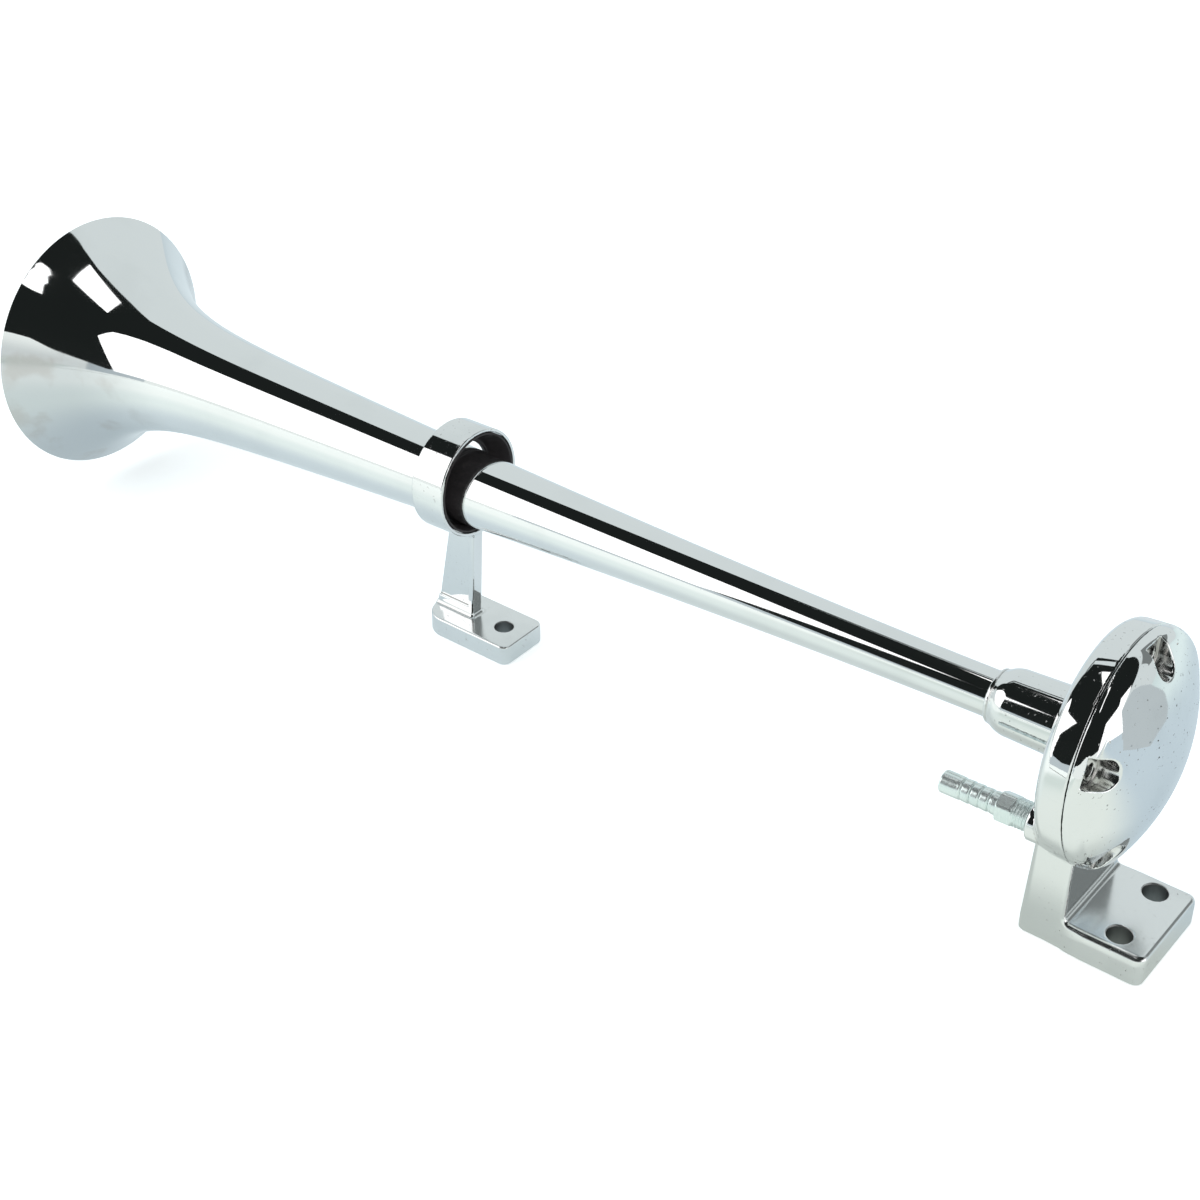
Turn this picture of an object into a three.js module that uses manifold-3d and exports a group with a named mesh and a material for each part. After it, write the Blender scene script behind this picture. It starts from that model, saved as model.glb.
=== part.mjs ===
// A chromed single-trumpet air horn: a flared trumpet screwed into a cast diaphragm housing.
// Millimetres, +Z up. The trumpet runs along X with its mouth towards -X, and slopes down a little
// towards the mouth, so that rain drains out of it. The origin is on the mounting plane, midway
// between the two bolt holes of the housing's foot. Along the horn's own sloping line, X is 0 at
// the parting plane between housing and cover.
import * as THREE from 'three';
import { mergeVertices } from 'three/addons/utils/BufferGeometryUtils.js';
import Module from 'manifold-3d';

const wasm = await Module();
wasm.setup();

// Driving dimensions: what the whole horn shares
const clearance = 0.3;
const cutOverrun = 1;
const partingHeight = 63.4;
const partingFromBolts = 12.4;
const slopeDegrees = 1.36;
const bigSteps = 45;
const smallSteps = 20;
const cornerSteps = 4;

// Trumpet
const mouthRadius = 46.8;
const hornLength = 416;
const tailRadius = 7;
const trumpetWall = 1.3;
const taperRise = 15.7;
const taperPower = 1.62;
const flareReach = 24.5;
const flarePower = 1.37;
const mouthStationShares = [0, 0.012, 0.03, 0.05, 0.07, 0.095, 0.125, 0.17, 0.25, 0.37, 0.52, 0.68, 0.85, 1];

// Housing: drum, collar and air chamber
const drumRadius = 35.3;
const drumDepth = 9.4;
const drumRound = 2.9;
const backRise = 3.1;
const collarRadius = 10.2;
const collarReach = 37.8;
const collarChamfer = 3.2;
const collarNoseRadius = 8.5;
const seatLand = 2.2;
const chamberDepth = 9;
const hubRadius = 10.2;

// Diaphragm and its two gaskets
const rimWidth = 7.9;
const diaphragmThickness = 0.4;
const gasketWidth = 2.6;
const gasketThickness = 0.8;
const coverSeatDepth = 1;

// Cover and its screws
const coverBand = 3.3;
const coverRound = 2.7;
const coverRise = 15;
const coverWall = 2.6;
const domeSteps = 6;
const screwCount = 5;
const screwInset = 4.7;
const screwRadius = 1.75;
const screwHeadRadius = 3.4;
const screwHeadHeight = 2.4;
const screwLength = 9.4;
const crossLength = 4;
const crossWidth = 0.9;
const crossDepth = 1.3;
const notchRadius = 4.4;
const notchLip = 0.8;
const notchShift = 2;
const screwShelf = 3.2;

// Air inlet and hose barb
const inletInset = 6.5;
const inletDegrees = 214;
const bossRadius = 6;
const bossReach = 12.8;
const inletDepth = 9.3;
const threadRadius = 4.3;
const threadEngaged = 5.5;
const threadStandOff = 4.9;
const hexAcrossFlats = 8.4;
const hexLength = 5.2;
const barbRadius = 3.4;
const barbGroove = 0.45;
const barbPitch = 2.9;
const barbCount = 4;
const barbNeck = 2.7;
const barbTip = 3.7;
const barbBore = 2;

// Housing's leg and foot
const footWidth = 35.6;
const footThickness = 9.5;
const footBehindBolts = 29.6;
const footAheadOfBolts = 10.5;
const boltSpacing = 22.2;
const boltHoleRadius = 3.7;
const footBellCorner = 9.4;
const footDriverCorner = 3;
const legFaceBehindParting = 1.5;
const legTopDepth = 12.4;
const legTopHeight = 41;

// Front bracket and its rubber bushing
const bracketFromMouth = 178.6;
const ringStandOff = 6;
const ringWidth = 13;
const ringRise = 2.6;
const ringWall = 1.1;
const ringSteps = 40;
const lipRise = 0.7;
const lipFromRingFace = 7.5;
const lipWidth = 2;
const rubberEdge = 0.6;
const stemThickness = 5;
const stemTopWidth = 11.3;
const stemBaseWidth = 16.6;
const stemBaseLean = -5;
const stemTopLean = -0.3;
const stemRecess = 0.7;
const stemRim = 2.4;
const bracketFootWidth = 20.4;
const bracketFootThickness = 7.2;
const bracketFootBack = 12.8;
const bracketFootFront = 24.4;
const bracketHoleInset = 9;
const bracketHoleRadius = 3.2;
const bracketBellCorner = 8;
const bracketDriverCorner = 3;

// Places along the horn's own line, where the parting plane is at 0
const slope = THREE.MathUtils.degToRad(slopeDegrees);
const mouthX = -hornLength;
const collarNoseX = -collarReach;
const ringX = mouthX + bracketFromMouth;
const diaphragmRadius = drumRadius - rimWidth;
const chamberRadius = diaphragmRadius - seatLand;
const gasketOuter = diaphragmRadius;
const gasketInner = gasketOuter - gasketWidth;
const coverSeatX = coverSeatDepth;
const coverGasketX = coverSeatX - clearance - gasketThickness;
const diaphragmX = coverGasketX - clearance - diaphragmThickness;
const housingGasketX = diaphragmX - clearance - gasketThickness;
const housingSeatX = housingGasketX - clearance;
const seatBoreRadius = diaphragmRadius + clearance;
const screwCircle = drumRadius - screwInset;
const inletAngle = THREE.MathUtils.degToRad(inletDegrees);
const inletAcross = (drumRadius - inletInset) * Math.cos(inletAngle);
const inletUp = (drumRadius - inletInset) * Math.sin(inletAngle);
const ringRadius = trumpetRadius(bracketFromMouth) + ringStandOff;

// Turns and moves a shape from the horn's own line to its place over the mounting plane
const onLine = new THREE.Matrix4().makeRotationY(-slope).setPosition(-partingFromBolts, 0, partingHeight);
const ringCentre = new THREE.Vector3(ringX, 0, ringRise).applyMatrix4(onLine);

// Materials: what the photograph shows of each surface
const chrome = (name) => finish(name, 0xd9dcde, 0.12, 1);
const zinc = (name) => finish(name, 0xb9c6c8, 0.38, 1);
const steel = (name) => finish(name, 0xa9abad, 0.3, 1);
const rubber = (name) => finish(name, 0x1a1a1b, 0.8, 0);
const fibre = (name) => finish(name, 0x4a3b30, 0.9, 0);

function finish(name, color, roughness, metalness) {
  return new THREE.MeshStandardMaterial({ name, color, roughness, metalness });
}

// A closed geometry with shared vertices, no flat triangles and its faces pointing out
function closed(geometry) {
  const bare = geometry.index ? geometry : geometry.clone();
  bare.deleteAttribute('normal');
  bare.deleteAttribute('uv');
  const merged = mergeVertices(bare);
  const corners = merged.index.array;
  const kept = [];
  for (let i = 0; i < corners.length; i += 3) {
    const [a, b, c] = corners.slice(i, i + 3);
    if (a !== b && b !== c && c !== a) kept.push(a, b, c);
  }
  if (signedVolume(merged.attributes.position, kept) < 0) kept.reverse();
  merged.setIndex(kept);
  return merged;
}

function signedVolume(positions, corners) {
  const [a, b, c] = [new THREE.Vector3(), new THREE.Vector3(), new THREE.Vector3()];
  let sum = 0;
  for (let i = 0; i < corners.length; i += 3) {
    a.fromBufferAttribute(positions, corners[i]);
    b.fromBufferAttribute(positions, corners[i + 1]);
    c.fromBufferAttribute(positions, corners[i + 2]);
    sum += a.dot(b.cross(c));
  }
  return sum;
}

function solid(geometry) {
  const whole = closed(geometry);
  const vertProperties = new Float32Array(whole.attributes.position.array);
  const triVerts = new Uint32Array(whole.index.array);
  return new wasm.Manifold(new wasm.Mesh({ numProp: 3, vertProperties, triVerts }));
}

function geometryOf(manifold) {
  const mesh = manifold.getMesh();
  const geometry = new THREE.BufferGeometry();
  geometry.setAttribute('position', new THREE.BufferAttribute(new Float32Array(mesh.vertProperties), 3));
  geometry.setIndex(Array.from(mesh.triVerts));
  return geometry;
}

const joined = (first, ...others) => others.reduce((all, one) => all.add(one), first);
const cut = (first, ...others) => others.reduce((all, one) => all.subtract(one), first);

// Turned shapes: a profile of [x, radius] points spun about the X axis
function turned(profile, steps) {
  const points = profile.map(([x, radius]) => new THREE.Vector2(radius, x));
  return new THREE.LatheGeometry(points, steps).rotateZ(-Math.PI / 2);
}

function plug(x0, x1, radius, steps) {
  return turned([[x0, 0], [x0, radius], [x1, radius], [x1, 0]], steps);
}

function washer(x0, x1, inner, outer, steps) {
  return turned([[x0, inner], [x0, outer], [x1, outer], [x1, inner], [x0, inner]], steps);
}

// A plate's outline seen from above: rounder corners at the bell's end than at the driver's
function plateOutline(x0, x1, width, bellCorner, driverCorner) {
  const half = width / 2;
  const outline = new THREE.Shape();
  outline.absarc(x0 + bellCorner, bellCorner - half, bellCorner, Math.PI, 1.5 * Math.PI);
  outline.absarc(x1 - driverCorner, driverCorner - half, driverCorner, 1.5 * Math.PI, 2 * Math.PI);
  outline.absarc(x1 - driverCorner, half - driverCorner, driverCorner, 0, 0.5 * Math.PI);
  outline.absarc(x0 + bellCorner, half - bellCorner, bellCorner, 0.5 * Math.PI, Math.PI);
  return outline;
}

function upright(outline, z0, z1) {
  const options = { depth: z1 - z0, bevelEnabled: false, curveSegments: cornerSteps };
  return new THREE.ExtrudeGeometry(outline, options).translate(0, 0, z0);
}

function boltHole(x, y, radius, thickness) {
  const drill = new THREE.CylinderGeometry(radius, radius, thickness + 2 * cutOverrun, smallSteps);
  return solid(drill.rotateX(Math.PI / 2).translate(x, y, thickness / 2));
}

// Trumpet: a gentle taper with a flare added near the mouth
function trumpetRadius(fromMouth) {
  const reach = hornLength - collarReach;
  const left = Math.max(0, 1 - fromMouth / reach);
  const flareRise = mouthRadius - tailRadius - taperRise;
  const flare = flareRise * Math.exp(-Math.pow(fromMouth / flareReach, flarePower));
  return tailRadius + taperRise * Math.pow(left, taperPower) + flare;
}

function trumpetHorn() {
  const reach = hornLength - collarReach;
  const tailX = diaphragmX - clearance;
  const outer = mouthStationShares.map((share) => [mouthX + share * reach, trumpetRadius(share * reach)]);
  const inner = outer.map(([x, radius]) => [x, radius - trumpetWall]).reverse();
  const tail = [[tailX, tailRadius], [tailX, tailRadius - trumpetWall]];
  return turned([...outer, ...tail, ...inner, outer[0]], bigSteps);
}

// Housing: one casting of drum, collar, inlet boss, leg and foot
function drumBlank() {
  const rim = drumRadius - drumRound;
  return turned([
    [0, 0],
    [0, drumRadius],
    [drumRound - drumDepth, drumRadius],
    [drumRound * (1 - Math.SQRT1_2) - drumDepth, rim + drumRound * Math.SQRT1_2],
    [-drumDepth, rim],
    [-drumDepth - backRise, collarRadius],
    [collarNoseX + collarChamfer, collarRadius],
    [collarNoseX, collarNoseRadius],
    [collarNoseX, 0],
  ], bigSteps);
}

// The leg leans: its bell side comes nearer to the drum as it rises
function leg() {
  const faceX = -partingFromBolts - legFaceBehindParting;
  const baseX = -footBehindBolts;
  const outline = plateOutline(baseX, faceX, footWidth, footBellCorner, footDriverCorner / 2);
  const low = footThickness / 2;
  const shape = upright(outline, low, legTopHeight);
  const narrowing = (faceX + partingFromBolts + legTopDepth) / (faceX - baseX);
  const position = shape.attributes.position;
  for (let i = 0; i < position.count; i += 1) {
    const rise = (position.getZ(i) - low) / (legTopHeight - low);
    const share = 1 + rise * (narrowing - 1);
    position.setX(i, faceX + (position.getX(i) - faceX) * share);
  }
  return solid(shape);
}

function foot() {
  const outline = plateOutline(-footBehindBolts, footAheadOfBolts, footWidth, footBellCorner, footDriverCorner);
  return solid(upright(outline, 0, footThickness));
}

function inletPlug(x0, x1, radius) {
  return plug(x0, x1, radius, smallSteps).translate(0, inletAcross, inletUp);
}

function screwPlaces() {
  const places = [];
  for (let i = 0; i < screwCount; i += 1) {
    const angle = Math.PI / 2 + (i * 2 * Math.PI) / screwCount;
    places.push([angle, screwCircle * Math.cos(angle), screwCircle * Math.sin(angle)]);
  }
  return places;
}

function screwHole(x0, x1, y, z) {
  return plug(x0, x1, screwRadius + clearance, smallSteps).translate(0, y, z);
}

function driverBody() {
  const set = (shape) => solid(shape.applyMatrix4(onLine));
  const boss = inletPlug(-bossReach, -chamberDepth / 2, bossRadius);
  const whole = joined(set(drumBlank()), leg(), foot(), set(boss));
  const screwDepth = screwShelf - clearance - screwLength;
  const hollows = [
    plug(housingSeatX, cutOverrun, seatBoreRadius, bigSteps),
    washer(-chamberDepth, cutOverrun, hubRadius, chamberRadius, bigSteps),
    plug(collarNoseX - cutOverrun, cutOverrun, tailRadius + clearance, bigSteps),
    inletPlug(-bossReach - cutOverrun, inletDepth - bossReach, threadRadius + clearance),
    ...screwPlaces().map(([, y, z]) => screwHole(screwDepth, cutOverrun, y, z)),
  ];
  const holes = [1, -1].map((side) => boltHole(0, side * boltSpacing / 2, boltHoleRadius, footThickness));
  return geometryOf(cut(whole, ...hollows.map(set), ...holes));
}

// Cover: a short band, a rounded edge and a shallow dome, hollow inside
function coverArc(rimX, rimRadius, apexX) {
  const rise = apexX - rimX;
  const domeRadius = (rimRadius * rimRadius + rise * rise) / (2 * rise);
  const halfAngle = Math.asin(rimRadius / domeRadius);
  const points = [];
  for (let i = 0; i <= domeSteps; i += 1) {
    const angle = halfAngle * (1 - i / domeSteps);
    points.push([apexX - domeRadius * (1 - Math.cos(angle)), i < domeSteps ? domeRadius * Math.sin(angle) : 0]);
  }
  return points;
}

function driverCover() {
  const shoulder = coverRound * Math.SQRT1_2;
  const shell = turned([
    [clearance, 0],
    [clearance, drumRadius],
    [coverBand, drumRadius],
    [coverBand + shoulder, drumRadius - coverRound + shoulder],
    ...coverArc(coverBand + coverRound, drumRadius - coverRound, coverRise),
  ], bigSteps);
  const hollow = turned([
    [-cutOverrun, 0],
    [-cutOverrun, gasketInner],
    ...coverArc(coverSeatX, gasketInner, coverRise - coverWall),
  ], bigSteps);
  const seat = plug(-cutOverrun, coverSeatX, seatBoreRadius, bigSteps);
  const screwHoles = screwPlaces().map(([, y, z]) => screwHole(-cutOverrun, coverRise, y, z));
  const notches = screwPlaces().map(([angle]) => screwNotch(angle));
  return geometryOf(cut(solid(shell), ...[hollow, seat, ...notches, ...screwHoles].map(solid)));
}

// A screw's pocket: round towards the centre, flat just inside the rim
function screwNotch(angle) {
  const outline = new THREE.Shape();
  const flat = drumRadius - notchLip;
  const roundAt = screwCircle - notchShift;
  outline.moveTo(flat, notchRadius);
  outline.lineTo(roundAt, notchRadius);
  outline.absarc(roundAt, 0, notchRadius, Math.PI / 2, 1.5 * Math.PI);
  outline.lineTo(flat, -notchRadius);
  const options = { depth: coverRise, bevelEnabled: false, curveSegments: cornerSteps * 2 };
  const block = new THREE.ExtrudeGeometry(outline, options).applyMatrix4(facingX());
  return block.rotateX(angle).translate(screwShelf, 0, 0);
}

// Turns a shape drawn in XY and raised along Z into one drawn in YZ and raised along X
function facingX() {
  const swap = new THREE.Matrix4();
  return swap.makeBasis(new THREE.Vector3(0, 1, 0), new THREE.Vector3(0, 0, 1), new THREE.Vector3(1, 0, 0));
}

// A pan-head screw with a cross recess, its axis along X and its head's seat at x = 0
function coverScrew() {
  const bevel = screwHeadHeight / 3;
  const profile = [
    [-screwLength, 0],
    [-screwLength, screwRadius],
    [0, screwRadius],
    [0, screwHeadRadius],
    [screwHeadHeight - bevel, screwHeadRadius],
    [screwHeadHeight, screwHeadRadius - bevel],
    [screwHeadHeight, 0],
  ];
  const body = solid(turned(profile, smallSteps));
  const depth = crossDepth + cutOverrun;
  const slotX = screwHeadHeight - crossDepth + depth / 2;
  const bar = solid(new THREE.BoxGeometry(depth, crossLength, crossWidth).translate(slotX, 0, 0));
  const crossBar = solid(new THREE.BoxGeometry(depth, crossWidth, crossLength).translate(slotX, 0, 0));
  return geometryOf(cut(body, bar, crossBar));
}

// Hose barb: thread, hexagon, neck and saw-toothed barbs, with an air bore right through
function hoseBarb() {
  const hexX = -bossReach - threadStandOff;
  const neckX = hexX - hexLength;
  const rootRadius = barbRadius - barbGroove;
  const teeth = [];
  for (let i = 0; i < barbCount; i += 1) {
    const toothX = neckX - barbNeck - i * barbPitch;
    teeth.push([toothX, barbRadius], [toothX, rootRadius]);
  }
  const tipX = teeth.at(-1)[0] - barbTip;
  const innerX = threadEngaged - bossReach;
  const stalk = turned([
    [innerX, 0],
    [innerX, threadRadius],
    [neckX, threadRadius],
    [neckX, barbRadius],
    ...teeth,
    [tipX + barbGroove, barbRadius],
    [tipX, rootRadius],
    [tipX, 0],
  ], smallSteps);
  const corner = hexAcrossFlats / Math.sqrt(3);
  const hexagon = turned([[hexX, 0], [hexX, corner], [neckX, corner], [neckX, 0]], 6);
  const bore = plug(tipX - cutOverrun, innerX + cutOverrun, barbBore, smallSteps);
  return geometryOf(cut(joined(solid(stalk), solid(hexagon)), solid(bore)));
}

// Front bracket: ring, leaning stem with a shallow panel on each side, and foot
function stemOutline(inset) {
  const low = inset > 0 ? bracketFootThickness + inset : bracketFootThickness / 2;
  const high = ringCentre.z - ringRadius + ringWall / 2 - inset;
  const outline = new THREE.Shape();
  outline.moveTo(stemBaseLean - stemBaseWidth / 2 + inset, low);
  outline.lineTo(stemBaseLean + stemBaseWidth / 2 - inset, low);
  outline.lineTo(stemTopLean + stemTopWidth / 2 - inset, high);
  outline.lineTo(stemTopLean - stemTopWidth / 2 + inset, high);
  return outline;
}

function stemSlab(outline, y0, y1) {
  const options = { depth: y1 - y0, bevelEnabled: false };
  const slab = new THREE.ExtrudeGeometry(outline, options).rotateX(Math.PI / 2);
  return solid(slab.translate(ringCentre.x, y1, 0));
}

function ringPlug(overrun, radius) {
  const half = ringWidth / 2 + overrun;
  return solid(plug(ringX - half, ringX + half, radius, ringSteps).translate(0, 0, ringRise).applyMatrix4(onLine));
}

function frontBracket() {
  const half = stemThickness / 2;
  const stem = stemSlab(stemOutline(0), -half, half);
  const panels = [
    stemSlab(stemOutline(stemRim), half - stemRecess, half + cutOverrun),
    stemSlab(stemOutline(stemRim), -half - cutOverrun, stemRecess - half),
  ];
  const footX0 = ringCentre.x - bracketFootBack;
  const footX1 = ringCentre.x + bracketFootFront;
  const outline = plateOutline(footX0, footX1, bracketFootWidth, bracketBellCorner, bracketDriverCorner);
  const plate = solid(upright(outline, 0, bracketFootThickness));
  const hole = boltHole(footX1 - bracketHoleInset, 0, bracketHoleRadius, bracketFootThickness);
  const whole = joined(ringPlug(0, ringRadius), cut(stem, ...panels), plate);
  return geometryOf(cut(whole, ringPlug(cutOverrun, ringRadius - ringWall), hole));
}

// Rubber bushing: fills the ring, and a lip set low in it rides on the tube
function bracketBushing() {
  const x0 = ringX - ringWidth / 2;
  const x1 = ringX + ringWidth / 2;
  const outer = ringRadius - ringWall - clearance;
  const lipX1 = x1 - lipFromRingFace;
  const lipX0 = lipX1 - lipWidth;
  const lipRadius = trumpetRadius(x0 - mouthX) + clearance + lipRise;
  const blank = plug(x0, x1, outer, ringSteps).translate(0, 0, ringRise);
  const throat = plug(x0 - cutOverrun, x1 + cutOverrun, lipRadius, ringSteps).translate(0, 0, lipRise);
  const funnel = (faceX, lipX) => {
    const outsideX = faceX + Math.sign(faceX - lipX) * cutOverrun;
    const mouth = outer - rubberEdge;
    return turned([[outsideX, 0], [outsideX, mouth], [faceX, mouth], [lipX, lipRadius], [lipX, 0]], ringSteps)
      .translate(0, 0, ringRise);
  };
  const hollows = [throat, funnel(x1, lipX1), funnel(x0, lipX0)];
  return geometryOf(cut(solid(blank), ...hollows.map(solid)));
}

// Assembly: what lies along the horn's own line, and the two castings that stand on their feet
const airHorn = new THREE.Group();
const hornLine = new THREE.Group();
hornLine.position.set(-partingFromBolts, 0, partingHeight);
hornLine.rotation.y = -slope;
airHorn.add(hornLine);

function place(group, name, geometry, material, position = [0, 0, 0]) {
  const mesh = new THREE.Mesh(closed(geometry), material);
  mesh.name = name;
  mesh.position.set(...position);
  group.add(mesh);
}

const disc = plug(diaphragmX, diaphragmX + diaphragmThickness, diaphragmRadius, bigSteps);
const gasket = (x) => washer(x, x + gasketThickness, gasketInner, gasketOuter, bigSteps);
place(hornLine, 'trumpet_horn', trumpetHorn(), chrome('trumpet_chrome'));
place(hornLine, 'driver_cover', driverCover(), chrome('driver_cover_chrome'));
place(hornLine, 'diaphragm', disc, steel('diaphragm_steel'));
place(hornLine, 'housing_gasket', gasket(housingGasketX), fibre('housing_gasket_fibre'));
place(hornLine, 'cover_gasket', gasket(coverGasketX), fibre('cover_gasket_fibre'));
place(hornLine, 'hose_barb', hoseBarb(), zinc('hose_barb_zinc'), [0, inletAcross, inletUp]);
screwPlaces().forEach(([, y, z], i) => {
  const name = `cover_screw_${i + 1}`;
  place(hornLine, name, coverScrew(), steel(`${name}_steel`), [screwShelf + clearance, y, z]);
});
place(hornLine, 'bracket_bushing', bracketBushing(), rubber('bracket_bushing_rubber'));
place(airHorn, 'driver_body', driverBody(), chrome('driver_body_chrome'));
place(airHorn, 'front_bracket', frontBracket(), chrome('front_bracket_chrome'));

export default airHorn;
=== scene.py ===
import math

import bpy
import numpy as np
from mathutils import Matrix, Vector


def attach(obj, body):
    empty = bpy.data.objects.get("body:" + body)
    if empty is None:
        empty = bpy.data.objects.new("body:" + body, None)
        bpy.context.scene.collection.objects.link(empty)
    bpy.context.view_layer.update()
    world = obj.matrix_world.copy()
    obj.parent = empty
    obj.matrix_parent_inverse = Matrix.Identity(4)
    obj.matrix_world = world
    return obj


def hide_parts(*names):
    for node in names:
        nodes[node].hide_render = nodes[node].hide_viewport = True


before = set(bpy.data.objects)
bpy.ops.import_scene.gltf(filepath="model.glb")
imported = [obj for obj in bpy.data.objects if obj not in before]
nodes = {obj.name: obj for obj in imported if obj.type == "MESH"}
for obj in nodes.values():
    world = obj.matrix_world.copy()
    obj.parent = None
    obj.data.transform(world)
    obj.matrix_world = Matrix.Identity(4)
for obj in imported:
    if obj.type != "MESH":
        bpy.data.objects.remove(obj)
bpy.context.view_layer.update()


# Trumpet: one brass tube spun out to a bell at its mouth, then polished and chromed.
# Its tail slips into the housing's collar. The horn's line slopes down towards the mouth,
# so that rain drains out, and every piece on that line is drawn level and then tilted.
MM = 0.001
LINE_SLOPE = math.radians(-1.36)
PARTING_PLACE = (-12.4 * MM, 0, 63.4 * MM)
ON_LINE = Matrix.Translation(PARTING_PLACE) @ Matrix.Rotation(LINE_SLOPE, 4, "Y")
TUBE_WALL = 1.3 * MM
RIM_ROUNDING = 0.5 * MM
TUBE_STATIONS = 240
TUBE_STEPS = 160
TRUMPET = {
    "Mouth": 416.5 * MM,
    "Length": 415.4 * MM,
    "Taper Length": 378.2 * MM,
    "Tail Radius": 7 * MM,
    "Taper Rise": 15.7 * MM,
    "Taper Power": 1.62,
    "Flare Rise": 26.7 * MM,
    "Flare Start": 4.82 * MM,
    "Flare Reach": 24.71 * MM,
    "Flare Power": 1.2825,
    "Lip Reach": 12 * MM,
    "Lip Curl": 2.5,
    "Crowding": 1.7,
}


class Wire:
    """A socket that Python's operators work on. Each operation adds one Math node."""

    def __init__(self, socket):
        self.socket = socket

    def __add__(self, other):
        return maths("ADD", self, other)

    def __sub__(self, other):
        return maths("SUBTRACT", self, other)

    def __rsub__(self, other):
        return maths("SUBTRACT", other, self)

    def __mul__(self, other):
        return maths("MULTIPLY", self, other)

    def __truediv__(self, other):
        return maths("DIVIDE", self, other)

    def __pow__(self, other):
        return maths("POWER", self, other)

    __radd__ = __add__
    __rmul__ = __mul__


def maths(operation, *values):
    """One Math node. At least one of its values is a wire."""
    tree = next(value.socket.id_data for value in values if isinstance(value, Wire))
    return node(tree, "ShaderNodeMath", {"operation": operation}, dict(enumerate(values)))


def node(tree, kind, settings=None, inputs=None, out=0):
    """Adds a node, sets its own settings, then gives its sockets their values or wires."""
    made = tree.nodes.new(kind)
    for key, value in (settings or {}).items():
        setattr(made, key, value)
    for key, value in (inputs or {}).items():
        if isinstance(value, Wire):
            tree.links.new(value.socket, made.inputs[key])
        else:
            made.inputs[key].default_value = value
    return Wire(made.outputs[out]) if made.outputs else None


def growth(name, sizes):
    """A geometry tree with one named input for each size, and the wires from those inputs."""
    tree = bpy.data.node_groups.new(name, "GeometryNodeTree")
    kinds = {int: "NodeSocketInt", float: "NodeSocketFloat"}
    for label, value in sizes.items():
        kind = kinds.get(type(value), "NodeSocket" + type(value).__name__)
        tree.interface.new_socket(label, in_out="INPUT", socket_type=kind)
    tree.interface.new_socket("Geometry", in_out="OUTPUT", socket_type="NodeSocketGeometry")
    entry = tree.nodes.new("NodeGroupInput")
    return tree, {label: Wire(entry.outputs[label]) for label in sizes}


def put(name, data):
    """An object in the scene."""
    thing = bpy.data.objects.new(name, data)
    bpy.context.scene.collection.objects.link(thing)
    return thing


def grown(name, tree, sizes, geometry, place):
    """Ends the tree, runs it with these sizes and keeps the result as a plain mesh."""
    end = tree.nodes.new("NodeGroupOutput")
    tree.links.new(geometry.socket, end.inputs[0])
    seed = put(name + "_seed", bpy.data.meshes.new(name + "_seed"))
    modifier = seed.modifiers.new("growth", "NODES")
    modifier.node_group = tree
    for socket in tree.interface.items_tree:
        if socket.in_out == "INPUT":
            modifier[socket.identifier] = sizes[socket.name]
    evaluated = seed.evaluated_get(bpy.context.evaluated_depsgraph_get())
    mesh = bpy.data.meshes.new_from_object(evaluated)
    bpy.data.objects.remove(seed)
    mesh.name = name
    mesh.transform(place)
    return put(name, mesh)


def mixed(factor, first, second):
    """A colour between two others."""
    tree = factor.socket.id_data
    inputs = {0: factor, 6: first, 7: second}
    return node(tree, "ShaderNodeMix", {"data_type": "RGBA"}, inputs, out=2)


def noise(tree, scale, stretch=(1, 1, 1), detail=2.0):
    """Noise on the object's own coordinates, in cycles per metre."""
    place = node(tree, "ShaderNodeTexCoord", out="Object")
    scaled = node(tree, "ShaderNodeMapping", inputs={"Vector": place, "Scale": stretch})
    inputs = {"Vector": scaled, "Scale": scale, "Detail": detail}
    return node(tree, "ShaderNodeTexNoise", inputs=inputs)


def ramp(value, low, high):
    """0 below low, 1 above high and smooth between them."""
    steps = {"interpolation_type": "SMOOTHSTEP"}
    ends = {"Value": value, "From Min": low, "From Max": high}
    return node(value.socket.id_data, "ShaderNodeMapRange", steps, ends)


def own_place(tree, axis):
    """The object's own x, y or z in metres, for axis 0, 1 or 2."""
    place = node(tree, "ShaderNodeTexCoord", out="Object")
    return node(tree, "ShaderNodeSeparateXYZ", inputs={0: place}, out=axis)


def blank_material(name):
    """A material whose tree is still empty."""
    material = bpy.data.materials.new(name)
    material.use_nodes = True
    material.node_tree.nodes.clear()
    return material


def surfaced(tree, colour, roughness, metallic, height):
    """Ends a piece's material with its relief, its shader and its output."""
    bump = {"Height": height, "Distance": 1.0, "Strength": 1.0}
    relief = node(tree, "ShaderNodeBump", inputs=bump)
    inputs = {"Base Color": colour, "Roughness": roughness, "Metallic": metallic, "Normal": relief}
    shader = node(tree, "ShaderNodeBsdfPrincipled", inputs=inputs)
    node(tree, "ShaderNodeOutputMaterial", inputs={"Surface": shader})


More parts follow.
